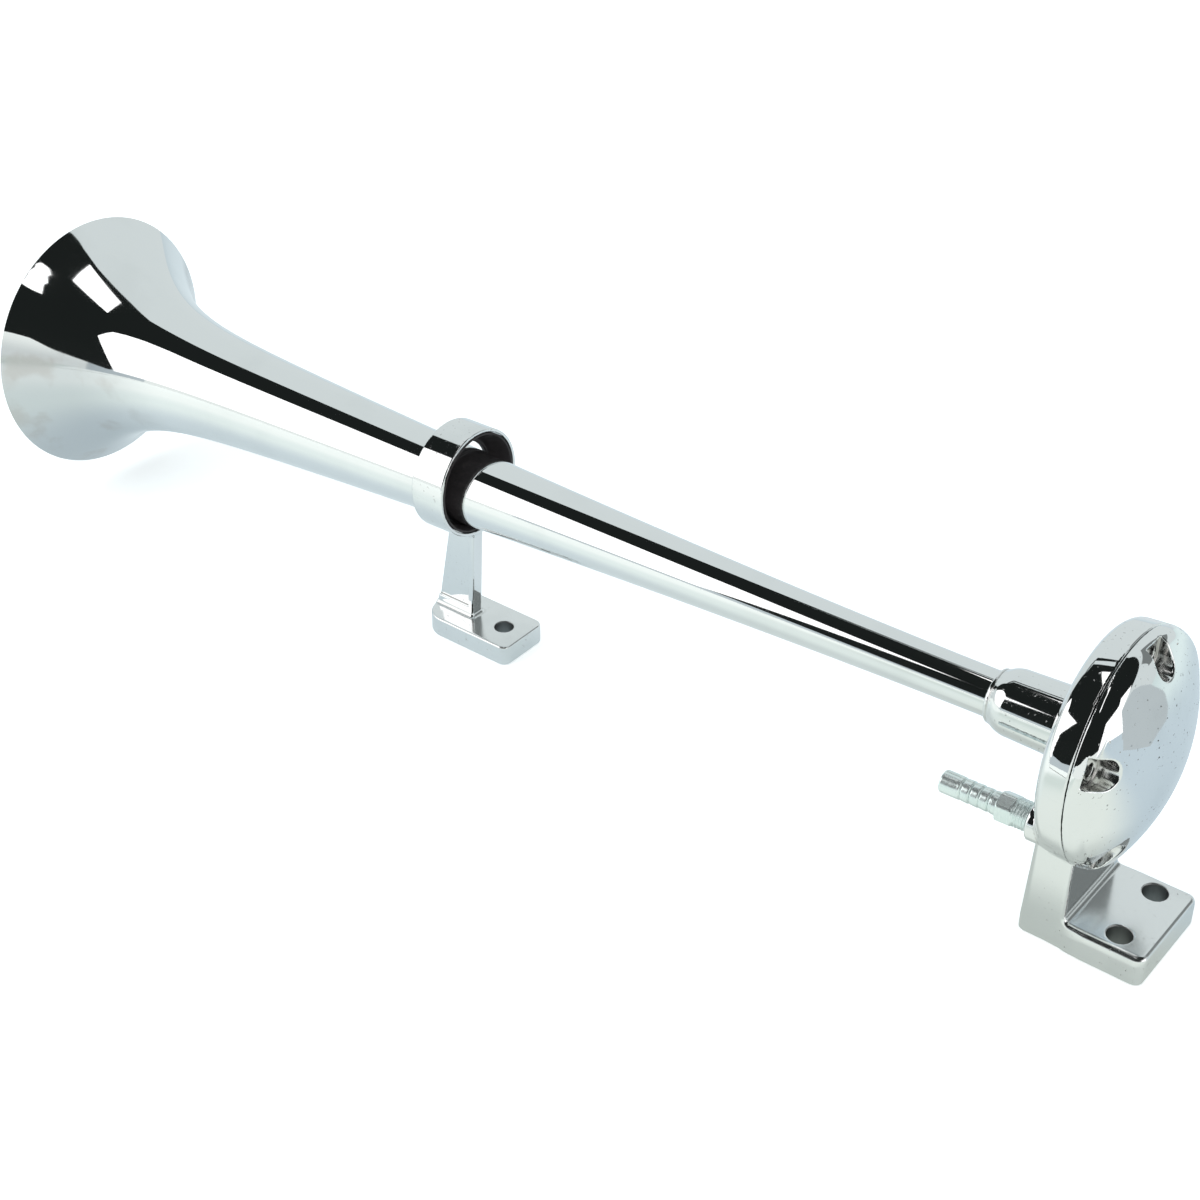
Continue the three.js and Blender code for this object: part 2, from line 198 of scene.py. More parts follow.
def chromed(name, haze, ripple, pits=0.0, satin=None, hole=None, shaded_underside=None, cast=False):
    """Bright chrome plate, dulled by fingerprints and wiping. Its places are in millimetres.
    A casting also has pits, painted shade in its creases, and duller plate where no wheel reached."""
    clean = (0.87, 0.88, 0.88, 1)
    dulled = (0.77, 0.785, 0.785, 1)
    underside_shade = (0.6, 0.62, 0.635, 1)
    blotch_shade = (0.52, 0.49, 0.47, 1)
    pit_shade = (0.16, 0.15, 0.14, 1)
    painted_crease_shade = (0.2, 0.195, 0.18, 1)
    die_shade = (0.74, 0.725, 0.7, 1)
    bare_shade = (0.3, 0.31, 0.31, 1)
    material = blank_material(name)
    tree = material.node_tree
    smear = ramp(noise(tree, 42, detail=6.0), 0.5, 0.72)
    wiping = ramp(noise(tree, 120, stretch=(1, 7, 7), detail=4.0), 0.55, 0.8)
    dull = smear * haze + wiping * (haze * 0.4)
    colour = mixed(dull, clean, dulled)
    roughness = dull * 0.1 + 0.03
    # The lower side near the mouth is darkened as painted shade, and mottled there with brownish
    # blotches.
    if shaded_underside:
        shade_from, shade_gone_at, axis_height = shaded_underside
        along, across = own_place(tree, 0), own_place(tree, 1)
        rise = own_place(tree, 2) - axis_height * MM
        upright = rise / (across * across + rise * rise + 1e-9) ** 0.5
        near_mouth = 1 - ramp(along, shade_from * MM, shade_gone_at * MM)
        painted_underside = near_mouth * (1 - ramp(upright, 0.3, 0.44))
        blotches = ramp(noise(tree, 55, detail=9.0), 0.5, 0.64) * painted_underside
        colour = mixed(painted_underside * 0.9, colour, underside_shade)
        colour = mixed(blotches * 0.5, colour, blotch_shade)
        roughness = roughness + painted_underside * 0.04 + blotches * 0.1
    height = noise(tree, 900, detail=1.0) * (0.0006 * MM)
    height = height + noise(tree, 210, detail=2.0) * ripple * MM
    if pits:
        spread = ramp(noise(tree, 45, detail=3.0), 0.42, 0.6)
        speck = 1 - ramp(noise(tree, 900, detail=2.0), 0.29, 0.33)
        hollow = speck * spread * pits
        colour = mixed(hollow, colour, pit_shade)
        height = height - hollow * 0.015 * MM
        roughness = roughness + hollow * 0.4
    if cast:
        # Concave creases are darkened and roughened: the darkening is painted shade.
        crease_shadow = node(tree, "ShaderNodeAttribute", {"attribute_name": "crease"}, out="Fac")
        colour = mixed(crease_shadow * 0.8, colour, painted_crease_shade)
        inner = node(tree, "ShaderNodeAttribute", {"attribute_name": "unpolished"}, out="Fac")
        colour = mixed(inner * 0.5, colour, die_shade)
        roughness = roughness + crease_shadow * 0.2 + inner * 0.12
        scoured = ramp(noise(tree, 28, detail=1.0), 0.48, 0.62)
        scratches = noise(tree, 900, stretch=(1, 0.22, 0.22), detail=2.0) * scoured
        height = height + scratches * 0.006 * MM
    if satin:
        low, high = satin
        band = ramp(own_place(tree, 2), low * MM, high * MM)
        grain = noise(tree, 700, detail=3.0)
        roughness = roughness + (1 - band) * (grain * 0.1 + 0.1)
    if hole:
        middle_x, middle_y, wall_radius = hole
        over_x = own_place(tree, 0) - middle_x * MM
        over_y = maths("ABSOLUTE", own_place(tree, 1)) - middle_y * MM
        from_axis = (over_x * over_x + over_y * over_y) ** 0.5
        unplated = 1 - ramp(from_axis, (wall_radius + 0.05) * MM, (wall_radius + 0.35) * MM)
        colour = mixed(unplated, colour, bare_shade)
        roughness = roughness + unplated * 0.25
    surfaced(tree, colour, roughness, 1.0, height)
    return material


# The trumpet's lower side near its mouth is darkened as painted shade.
tube_chrome = chromed("trumpet_chrome", haze=0.3, ripple=0.0015, shaded_underside=(-412, -372, 53.9))
sizes = {**TRUMPET, "Stations": TUBE_STATIONS, "Steps": TUBE_STEPS, "Finish": tube_chrome}
tree, given = growth("trumpet_spinning", sizes)
grid_inputs = {
    "Size X": 1.0,
    "Size Y": 1.0,
    "Vertices X": given["Stations"],
    "Vertices Y": given["Steps"] + 1,
}
sheet = node(tree, "GeometryNodeMeshGrid", inputs=grid_inputs)
flat_place = node(tree, "GeometryNodeInputPosition")
share = node(tree, "ShaderNodeSeparateXYZ", inputs={0: flat_place}, out=0) + 0.5
turn = (node(tree, "ShaderNodeSeparateXYZ", inputs={0: flat_place}, out=1) + 0.5) * math.tau
from_mouth = share ** given["Crowding"] * given["Length"]
left = maths("MAXIMUM", 1 - from_mouth / given["Taper Length"], 0.0)
flare = ((from_mouth + given["Flare Start"]) / given["Flare Reach"]) ** given["Flare Power"]
flare = maths("EXPONENT", flare * -1.0) * given["Flare Rise"]
near_rim = maths("MAXIMUM", given["Lip Reach"] - from_mouth, 0.0)
lip = near_rim * near_rim * given["Lip Curl"]
radius = given["Tail Radius"] + given["Taper Rise"] * left ** given["Taper Power"] + flare + lip
spun = {
    0: from_mouth - given["Mouth"],
    1: radius * maths("COSINE", turn),
    2: radius * maths("SINE", turn),
}
spun = node(tree, "ShaderNodeCombineXYZ", inputs=spun)
tube = node(tree, "GeometryNodeSetPosition", inputs={"Geometry": sheet, "Position": spun})
tube = node(tree, "GeometryNodeMergeByDistance", inputs={"Geometry": tube, "Distance": 0.00001})
tube = node(tree, "GeometryNodeSetShadeSmooth", inputs={"Geometry": tube})
plated = {"Geometry": tube, "Material": given["Finish"]}
tube = node(tree, "GeometryNodeSetMaterial", inputs=plated)
trumpet = grown("trumpet", tree, sizes, tube, ON_LINE)


def outward(mesh, inside):
    """Turns an open shell's faces away from a point inside it."""
    face = mesh.polygons[0]
    if face.normal.dot(face.center - Vector(inside)) < 0:
        mesh.flip_normals()


outward(trumpet.data, ON_LINE @ Vector((-TRUMPET["Mouth"], 0, 0)))
wall = trumpet.modifiers.new("wall", "SOLIDIFY")
wall.thickness = TUBE_WALL
wall.offset = -1
wall.use_even_offset = True
rim = trumpet.modifiers.new("rim", "BEVEL")
rim.width = RIM_ROUNDING
rim.segments = 3
rim.limit_method = "ANGLE"
rim.angle_limit = math.radians(60)
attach(trumpet, "horn")
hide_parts("trumpet_horn")


# Housing: one zinc casting of drum, collar, inlet boss, leg and foot, polished and chromed.
# The foot's flats are only dulled by the plating, and the casting's pits show through it.
# A casting is drawn in millimetres as the distance to its skin, which gives it true fillets.
DRUM_RADIUS = 35.3
DRUM_DRAFT = 0.02
DRUM_CROWN = 0.006
BACK_DEPTH = 9.4
BACK_EDGE = 32.4
BACK_SLOPE = 0.14
COLLAR_RADIUS = 10.3
COLLAR_END = 37.6
CHAMFER_PLACE = (34.6, 10.0)
CHAMFER_FACING = (0.469, 0.883)
LIP_RADIUS = 8.3
LIP_END = 39.2
BOSS_ACROSS = -23.88
BOSS_UP = -16.1
BOSS_RADIUS = 6
BOSS_END = 12.8
FACE_HEIGHT = 9.5
LEG_FACE = -14.5
LEG_BACK = -28.6
LEG_LEAN = 2.0
LEG_TOP = 42
LEG_HALF_WIDTH = 16.8
FOOT_SPREAD = 1.1
FOOT_END = 10.5
BOLT_SPREAD = 11.1
BOLT_HOLE = 3.7
SEAT_RADIUS = 27.7
SEAT_DEPTH = 2.2
CHAMBER_RADII = (10.2, 25.2)
CHAMBER_DEPTH = 9
TUBE_BORE = 7.3
INLET_BORE = 4.6
SCREW_COUNT = 5
SCREW_CIRCLE = 30.6
SCREW_HOLE = 2.05
SCREW_HOLE_DEPTH = 6.5
FIRST_SCREW = math.radians(87.4)
SMALL_STEP = 0.05
SKIN_BLOCK = 4
CREASE_REACH = 0.45
CREASE_START = 0.3
POLISH_DEPTH = 0.5
POLISH_FADE = 0.8


def meet(first, second, fillet):
    """Where both shapes are, with the edge between them rounded off."""
    over = np.hypot(np.maximum(first + fillet, 0), np.maximum(second + fillet, 0))
    return over + np.minimum(np.maximum(first, second) + fillet, 0) - fillet


def join(first, second, fillet):
    """Where either shape is, with the crease between them filled."""
    return -meet(-first, -second, fillet)


def cut(first, second, fillet):
    """The first shape without the second, with the cut's edge rounded off."""
    return meet(first, -second, fillet)


def ring_distance(across, up, centre_across=0.0, centre_up=0.0):
    """How far a point is from an axis that is seen end on."""
    return np.hypot(across - centre_across, up - centre_up)


def to_line(x, y, z):
    """Part coordinates in millimetres to the horn's own level line."""
    along, rise = x - PARTING_PLACE[0] / MM, z - PARTING_PLACE[2] / MM
    c, s = math.cos(LINE_SLOPE), math.sin(LINE_SLOPE)
    return along * c - rise * s, y, along * s + rise * c


def plate(x, y, start, end, width, bell_corner, driver_corner):
    """A foot's outline from above: rounder corners at the bell's end."""
    middle, half = (start + end) / 2, (end - start) / 2
    corner = np.where(x < middle, bell_corner, driver_corner)
    over_x = np.abs(x - middle) - half + corner
    over_y = np.abs(y) - width / 2 + corner
    outside = np.hypot(np.maximum(over_x, 0), np.maximum(over_y, 0))
    return outside + np.minimum(np.maximum(over_x, over_y), 0) - corner


def leg_outline(x, y, z):
    """The leg and foot from above: the leg is a little narrower than the foot, and leans."""
    wide = np.clip((x + 20) / 12, 0, 1) * np.clip((11 - z) / 5, 0, 1)
    side = np.abs(y) - LEG_HALF_WIDTH - wide * wide * (3 - 2 * wide) * FOOT_SPREAD
    bell_end = LEG_BACK + np.clip((z - 4.75) / 36.25, 0, 1) * LEG_LEAN - x
    return meet(meet(side, bell_end, 2.4), x - FOOT_END, 3.0)


def slope_of(field, points):
    """Which way the field rises at each point, and how fast."""
    steps = np.eye(3) * SMALL_STEP
    rises = [field(*(points + s).T) - field(*(points - s).T) for s in steps]
    return np.stack(rises, 1) / (2 * SMALL_STEP)


def casting(name, field, low, high, cell, material, polished=None):
    """Skins a shape given as a distance field in millimetres, with true normals.
    What lies under the polished form stays as the die left it."""
    block = SKIN_BLOCK
    counts = np.ceil((np.array(high) - low) / cell / block).astype(int) * block + block
    lines = [start + cell * np.arange(count) for start, count in zip(low, counts)]
    middles = [line.reshape(-1, block).mean(1) for line in lines]
    values = field(*np.meshgrid(*middles, indexing="ij"))
    for axis in range(3):
        values = values.repeat(block, axis)
    near = np.nonzero(np.abs(values) < cell * block * 1.5)
    values[near] = field(*(line[at] for line, at in zip(lines, near)))
    inside = values < 0
    corners = [(a, b, c) for a in (0, 1) for b in (0, 1) for c in (0, 1)]
    ends = [n - 1 for n in values.shape]
    windows = [tuple(slice(s, s + end) for s, end in zip(c, ends)) for c in corners]
    filled = sum(inside[window].astype(np.int8) for window in windows)
    cells = np.nonzero((filled > 0) & (filled < 8))
    numbers = np.full(ends, -1)
    numbers[cells] = np.arange(len(cells[0]))
    total, crossings = np.zeros((len(cells[0]), 3)), np.zeros(len(cells[0]))
    for c in corners:
        for axis in range(3):
            if c[axis]:
                continue
            first = values[tuple(at + step for at, step in zip(cells, c))]
            far = tuple(step + (i == axis) for i, step in enumerate(c))
            second = values[tuple(at + step for at, step in zip(cells, far))]
            crossed = (first < 0) != (second < 0)
            share = np.where(crossed, first / np.where(crossed, first - second, 1), 0)
            spot = np.tile(np.array(c, float), (len(share), 1))
            spot[:, axis] += share
            total += spot * crossed[:, None]
            crossings += crossed
    points = np.array(low) + cell * (np.stack(cells, 1) + total / crossings[:, None])
    for _ in range(4):
        rise = slope_of(field, points)
        move = field(*points.T) / np.maximum((rise ** 2).sum(1), 0.2)
        points -= rise * np.clip(move, -cell / 2, cell / 2)[:, None]
    faces = []
    for axis in range(3):
        one, two = (axis + 1) % 3, (axis + 2) % 3
        before = tuple(slice(0, -1) if i == axis else slice(1, -1) for i in range(3))
        after = tuple(slice(1, None) if i == axis else slice(1, -1) for i in range(3))
        changed = inside[before] != inside[after]
        at = np.stack(np.nonzero(changed), 1)
        at[:, one] += 1
        at[:, two] += 1
        leaving = inside[tuple(at.T)]
        around = []
        for back_one, back_two in ((1, 1), (0, 1), (0, 0), (1, 0)):
            spot = at.copy()
            spot[:, one] -= back_one
            spot[:, two] -= back_two
            around.append(numbers[tuple(spot.T)])
        quads = np.stack(around, 1)
        quads[~leaving] = quads[~leaving][:, ::-1]
        faces.append(quads)
    faces = np.concatenate(faces)
    mesh = bpy.data.meshes.new(name)
    mesh.vertices.add(len(points))
    mesh.vertices.foreach_set("co", (points * MM).astype(np.float32).ravel())
    mesh.loops.add(faces.size)
    mesh.loops.foreach_set("vertex_index", faces.astype(np.int32).ravel())
    mesh.polygons.add(len(faces))
    mesh.polygons.foreach_set("loop_start", np.arange(0, faces.size, 4, dtype=np.int32))
    mesh.update()
    mesh.validate()
    mesh.shade_smooth()
    # The crease mark grows where the skin bends inwards; materials paint shade there.
    ways = [way * side for way in np.eye(3) * CREASE_REACH for side in (1, -1)]
    beside = sum(field(*(points + way).T) for way in ways)
    marks = {"crease": (6 * field(*points.T) - beside) / CREASE_REACH ** 2 - CREASE_START}
    if polished:
        marks["unpolished"] = (-polished(*points.T) - POLISH_DEPTH) / POLISH_FADE
    for label, amount in marks.items():
        mark = mesh.attributes.new(label, "FLOAT", "POINT")
        mark.data.foreach_set("value", np.clip(amount, 0, 1).astype(np.float32))
    rise = slope_of(field, points)
    rise /= np.maximum(np.linalg.norm(rise, axis=1), 1e-9)[:, None]
    mesh.normals_split_custom_set_from_vertices(rise.tolist())
    mesh.materials.append(material)
    return put(name, mesh)


def screw_angles():
    """Where the screws stand round the horn's axis."""
    return [FIRST_SCREW + i * math.tau / SCREW_COUNT for i in range(SCREW_COUNT)]


def housing_field(x, y, z):
    along, across, up = to_line(x, y, z)
    out = ring_distance(across, up)
    back = (-along - BACK_DEPTH + (out - BACK_EDGE) * BACK_SLOPE) * 0.99
    band = out - DRUM_RADIUS - along * DRUM_DRAFT + along ** 2 * DRUM_CROWN
    drum = meet(meet(band, back, 2.9), along, 0.4)
    chamfer = -(along + CHAMFER_PLACE[0]) * CHAMFER_FACING[0]
    chamfer = chamfer + (out - CHAMFER_PLACE[1]) * CHAMFER_FACING[1]
    collar = meet(out - COLLAR_RADIUS - (along + 24) * 0.03, chamfer, 0.8)
    collar = meet(collar, -along - COLLAR_END, 0.4)
    lip = meet(out - LIP_RADIUS, -along - LIP_END, 0.8)
    collar = np.maximum(join(collar, lip, 0.5), along + 5)
    boss_out = ring_distance(across, up, BOSS_ACROSS, BOSS_UP)
    boss = np.maximum(meet(boss_out - BOSS_RADIUS, -along - BOSS_END, 0.7), along + 4)
    profile = join(z - FACE_HEIGHT, x - LEG_FACE, 1.6)
    standing = meet(meet(profile, leg_outline(x, y, z), 1.3), -z, 0.4)
    standing = np.maximum(standing, z - LEG_TOP)
    body = join(join(join(drum, collar, 2.2), boss, 1.0), standing, 1.3)
    seat = np.maximum(out - SEAT_RADIUS, -SEAT_DEPTH - along)
    chamber = np.maximum(out - CHAMBER_RADII[1], CHAMBER_RADII[0] - out)
    chamber = np.maximum(chamber, -CHAMBER_DEPTH - along)
    inlet = np.maximum(boss_out - INLET_BORE, along + 3.5)
    hollow = np.minimum(np.minimum(seat, chamber), np.minimum(out - TUBE_BORE, inlet))
    for angle in screw_angles():
        hole_across, hole_up = SCREW_CIRCLE * math.cos(angle), SCREW_CIRCLE * math.sin(angle)
        hole = ring_distance(across, up, hole_across, hole_up) - SCREW_HOLE
        hollow = np.minimum(hollow, np.maximum(hole, -SCREW_HOLE_DEPTH - along))
    body = cut(body, hollow, 0.35)
    for side in (1, -1):
        body = cut(body, ring_distance(x, y, 0, side * BOLT_SPREAD) - BOLT_HOLE, 0.5)
    return body


bolt_hole = (0, BOLT_SPREAD, BOLT_HOLE)
body_chrome = chromed(
    "housing_chrome", haze=0.6, ripple=0.006, pits=0.5, satin=(9.0, 12.0), hole=bolt_hole,
    cast=True,
)
housing = casting("housing", housing_field, (-53, -37, -1), (12, 37, 101), 0.58, body_chrome)
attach(housing, "horn")
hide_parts("driver_body")


# Diaphragm and gaskets: a thin disc of rolled spring steel, clamped at its rim between two rings
# of fibre sheet. Nobody sees them once the cover is on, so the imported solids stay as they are.
def plain_metal(name, light, dark, scale, stretch, low, high, relief, metallic=1.0):
    """Metal that is rolled, turned or plated: its grain shifts its shade and its gloss."""
    material = blank_material(name)
    tree = material.node_tree
    grain = noise(tree, scale, stretch=stretch, detail=5.0)
    cloud = noise(tree, scale * 0.2, detail=4.0)
    colour = mixed(ramp(cloud * 0.6 + grain * 0.4, 0.35, 0.65), dark, light)
    surfaced(tree, colour, grain * (high - low) + low, metallic, grain * relief * MM)
    return material


def soft_sheet(name, light, dark, scale, roughness, relief):
    """Rubber or fibre: matt, mottled and a little dusty."""
    material = blank_material(name)
    tree = material.node_tree
    grain = noise(tree, scale, detail=6.0)
    dust = ramp(noise(tree, scale * 0.15, detail=5.0), 0.55, 0.8)
    colour = mixed(grain * 0.5 + dust * 0.5, dark, light)
    surfaced(tree, colour, grain * 0.15 + dust * 0.15 + roughness, 0.0, grain * relief * MM)
    return material


STEEL_LIGHT = (0.66, 0.66, 0.65, 1)
STEEL_DARK = (0.5, 0.5, 0.5, 1)
FIBRE_LIGHT = (0.24, 0.17, 0.12, 1)
FIBRE_DARK = (0.11, 0.08, 0.06, 1)
rolled_steel = plain_metal(
    "rolled_spring_steel", STEEL_LIGHT, STEEL_DARK, 900, (1, 1, 12),
    low=0.22, high=0.4, relief=0.002,
)
fibre_sheet = soft_sheet("fibre_sheet", FIBRE_LIGHT, FIBRE_DARK, 2500, roughness=0.75, relief=0.02)
nodes["diaphragm"].data.materials.clear()
nodes["diaphragm"].data.materials.append(rolled_steel)
for gasket in ("housing_gasket", "cover_gasket"):
    nodes[gasket].data.materials.clear()
    nodes[gasket].data.materials.append(fibre_sheet)


# Cover: a chromed zinc casting with a short band, a rounded edge and a shallow dome.
# Five pockets let its screws in: each is round towards the middle and flat inside the rim.
COVER_RADIUS = 35.4
COVER_DRAFT = 0.05
DOME_RADIUS = 63.54
DOME_TOP = 15.0
COVER_FACE = 0.3
INNER_RADIUS = 34.3
INNER_TOP = 12.4
INNER_OPENING = 24.8
POCKET_CENTRE = 29.6
POCKET_RADIUS = 4.4
POCKET_END = 34.5
POCKET_FLOOR = 3.2


def dome_form(x, y, z):
    along, across, up = to_line(x, y, z)
    out = ring_distance(across, up)
    dome = np.hypot(along - (DOME_TOP - DOME_RADIUS), out) - DOME_RADIUS
    return meet(out - COVER_RADIUS + along * COVER_DRAFT, dome, 2.4)


def cover_field(x, y, z):
    along, across, up = to_line(x, y, z)
    out = ring_distance(across, up)
    shell = meet(dome_form(x, y, z), COVER_FACE - along, 0.35)
    inner = np.hypot(along - (INNER_TOP - INNER_RADIUS), out) - INNER_RADIUS
    hollow = np.maximum(np.maximum(inner, out - INNER_OPENING), -1 - along)
    hollow = np.minimum(hollow, np.maximum(out - SEAT_RADIUS, along - 1))
    shell = np.maximum(shell, -hollow)
    for angle in screw_angles():
        c, s = math.cos(angle), math.sin(angle)
        outwards, sideways = across * c + up * s, up * c - across * s
        sides = np.abs(sideways) - POCKET_RADIUS
        round_end = np.hypot(outwards - POCKET_CENTRE, sideways) - POCKET_RADIUS
        straight = meet(sides, outwards - POCKET_END, 0.5)
        pocket = np.where(outwards < POCKET_CENTRE, round_end, straight)
        shell = cut(shell, meet(pocket, POCKET_FLOOR - along, 0.5), 0.4)
        hole = np.hypot(outwards - SCREW_CIRCLE, sideways) - SCREW_HOLE
        shell = np.maximum(shell, -hole)
    return shell


cover_chrome = chromed("cover_chrome", haze=0.6, ripple=0.004, pits=1.0, cast=True)
cover_low, cover_high = (-14, -37, 26), (6, 37, 101)
cover = casting("cover", cover_field, cover_low, cover_high, 0.42, cover_chrome, dome_form)
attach(cover, "horn")
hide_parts("driver_cover")


# Cover screws: five plated pan-head screws with a cross recess, pulled up by hand, so that
# each cross stands at its own angle. They hold the cover and clamp the diaphragm.
SCREWS = {
    "Circle": SCREW_CIRCLE * MM,
    "Shelf": 3.5 * MM,
    "Screws": SCREW_COUNT,
    "First": FIRST_SCREW - math.pi / 2,
    "Seed": 4,
}
PAN_RADIUS = 3.4
PAN_TOP = 2.5
PAN_CROWN = 5.9
SHANK_RADIUS = 1.72
SHANK_END = 9.4
CROSS_FLOOR = 0.9
SCREW_LIGHT = (0.92, 0.89, 0.86, 1)
SCREW_DARK = (0.7, 0.65, 0.6, 1)


def screw_field(x, y, z):
    out = np.hypot(y, z)
    crown = np.hypot(x - (PAN_TOP - PAN_CROWN), out) - PAN_CROWN
    head = meet(meet(out - PAN_RADIUS, crown, 0.5), -x, 0.15)
    shank = meet(out - SHANK_RADIUS, -x - SHANK_END, 0.3)
    body = np.maximum(join(head, shank, 0.1), x - 3)
    width = 0.5 + (x - 1.0) * 0.09
    reach = 2.05 + (x - 1.0) * 0.35
    one = np.maximum(np.abs(y) - width, np.abs(z) - reach)
    two = np.maximum(np.abs(z) - width, np.abs(y) - reach)
    recess = np.maximum(join(one, two, 0.15), CROSS_FLOOR - x)
    return cut(body, recess, 0.12)


screw_steel = plain_metal(
    "screw_plating", SCREW_LIGHT, SCREW_DARK, 800, (1, 1, 1),
    low=0.2, high=0.36, relief=0.003, metallic=0.75,
)
screw_blank = casting("screw_blank", screw_field, (-10, -4, -4), (3.2, 4, 4), 0.2, screw_steel)
sizes = {**SCREWS, "Screw": screw_blank, "Finish": screw_steel}
tree, given = growth("cover_screw_ring", sizes)
circle = {"Vertices": given["Screws"], "Radius": given["Circle"]}
circle = node(tree, "GeometryNodeMeshCircle", inputs=circle)
upright = node(tree, "ShaderNodeCombineXYZ", inputs={0: given["Shelf"]})
turned = {"Geometry": circle, "Translation": upright, "Rotation": (math.pi / 2, 0, math.pi / 2)}
circle = node(tree, "GeometryNodeTransform", inputs=turned)
first = node(tree, "ShaderNodeCombineXYZ", inputs={0: given["First"]})
circle = node(tree, "GeometryNodeTransform", inputs={"Geometry": circle, "Rotation": first})
blank = node(tree, "GeometryNodeObjectInfo", inputs={"Object": given["Screw"]}, out="Geometry")
turns = {3: math.tau, 8: given["Seed"]}
angle = node(tree, "FunctionNodeRandomValue", {"data_type": "FLOAT"}, turns, out=1)
angle = node(tree, "ShaderNodeCombineXYZ", inputs={0: angle})
placed = {"Points": circle, "Instance": blank, "Rotation": angle}
screws = node(tree, "GeometryNodeInstanceOnPoints", inputs=placed)
screws = node(tree, "GeometryNodeRealizeInstances", inputs={"Geometry": screws})
plated = {"Geometry": screws, "Material": given["Finish"]}
screws = node(tree, "GeometryNodeSetMaterial", inputs=plated)
cover_screws = grown("cover_screws", tree, sizes, screws, ON_LINE)
bpy.data.objects.remove(screw_blank)
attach(cover_screws, "horn")
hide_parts(*(f"cover_screw_{i + 1}" for i in range(5)))


# Hose barb: turned from hexagon steel bar and zinc plated. Its thread screws into the boss on the
# drum's back, and the air hose is pushed over its sloping teeth.
THREAD_RADIUS = 4.1
THREAD_HEIGHT = 0.22
THREAD_PITCH = 1.0
HEXAGON_FLAT = 4.2
HEXAGON_CORNER = 4.75
HEXAGON_MIDDLE = 20.3
HEXAGON_HALF = 2.6
STEM_RADIUS = 3.42
STEM_END = 40.9
FIRST_TOOTH = 25.6
TOOTH_PITCH = 2.9
TOOTH_SLOPE = 0.16
GROOVE_DEPTH = 0.42
GROOVE_WIDTH = 0.26
BARB_BORE = 2.0
ZINC_LIGHT = (0.88, 0.96, 0.95, 1)
ZINC_DARK = (0.76, 0.86, 0.85, 1)


def barb_field(x, y, z):
    along, across, up = to_line(x, y, z)
    sideways, rise = across - BOSS_ACROSS, up - BOSS_UP
    out = np.hypot(sideways, rise)
    turn = np.arctan2(rise, sideways) / math.tau
    phase = (along / THREAD_PITCH + turn) % 1
    thread = out - THREAD_RADIUS - THREAD_HEIGHT * np.cos(phase * math.tau)
    thread = meet(meet(thread, along + 7.3, 0.3), -along - 18.5, 0.2) * 0.75
    faces = (0, math.pi / 3, -math.pi / 3)
    flats = [np.abs(sideways * math.cos(a) + rise * math.sin(a)) - HEXAGON_FLAT for a in faces]
    bar = np.maximum(np.maximum(flats[0], flats[1]), flats[2])
    bar = meet(bar, out - HEXAGON_CORNER, 0.25)
    from_end = HEXAGON_HALF - np.abs(along + HEXAGON_MIDDLE)
    chamfer = (out - 4.25 - from_end * 1.1) * 0.67
    hexagon = meet(meet(bar, chamfer, 0.15), -from_end, 0.3)
    toothed = (along < -24.4) & (along > -35.6)
    tooth = ((-along - FIRST_TOOTH) / TOOTH_PITCH) % 1
    groove = np.minimum(tooth, 1 - tooth) * TOOTH_PITCH
    sunk = TOOTH_SLOPE * tooth + GROOVE_DEPTH * np.exp(-((groove / GROOVE_WIDTH) ** 2))
    ridge = STEM_RADIUS - np.where(toothed, sunk, 0)
    stem = meet(meet(out - ridge, -along - STEM_END, 0.7), along + 18, 0.2) * 0.85
    piece = join(join(thread, hexagon, 0.2), stem, 0.25)
    return cut(piece, out - BARB_BORE, 0.3)


zinc_plate = plain_metal(
    "zinc_plate", ZINC_LIGHT, ZINC_DARK, 500, (3, 1, 1),
    low=0.2, high=0.3, relief=0.0006, metallic=0.85,
)
hose_barb = casting("barb", barb_field, (-55, -29.5, 40), (-18, -18, 54), 0.17, zinc_plate)
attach(hose_barb, "horn")
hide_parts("hose_barb")


# Front bracket: a chromed zinc casting of ring, leaning stem and foot. The stem's faces are
# sunk a little inside a rib on its driver side, and wide fillets run it into ring and foot.
RING_ALONG = -237.4
RING_RISE = 2.6
RING_HALF = 6.5
RING_RADIUS = 18.58
RING_BORE = 17.48
HOLE_OFFSET = 15.4
RING_X = -249.79
STEM_FOOT = 3.6
STEM_HEIGHT = 38.7
STEM_LEAN = 4.7
STEM_HALF = 8.3
STEM_TAPER = 2.65
STEM_THICK = 2.5
STEM_SLANT = 0.985
RIB_WIDTH = 2.2
PANEL_DEPTH = 1.3
FOOT_START = RING_X - 12.8
FOOT_DRIVER_END = RING_X + 24.4
FOOT_WIDTH = 20.4
FOOT_TOP = 7.2
BRACKET_HOLE = 3.2


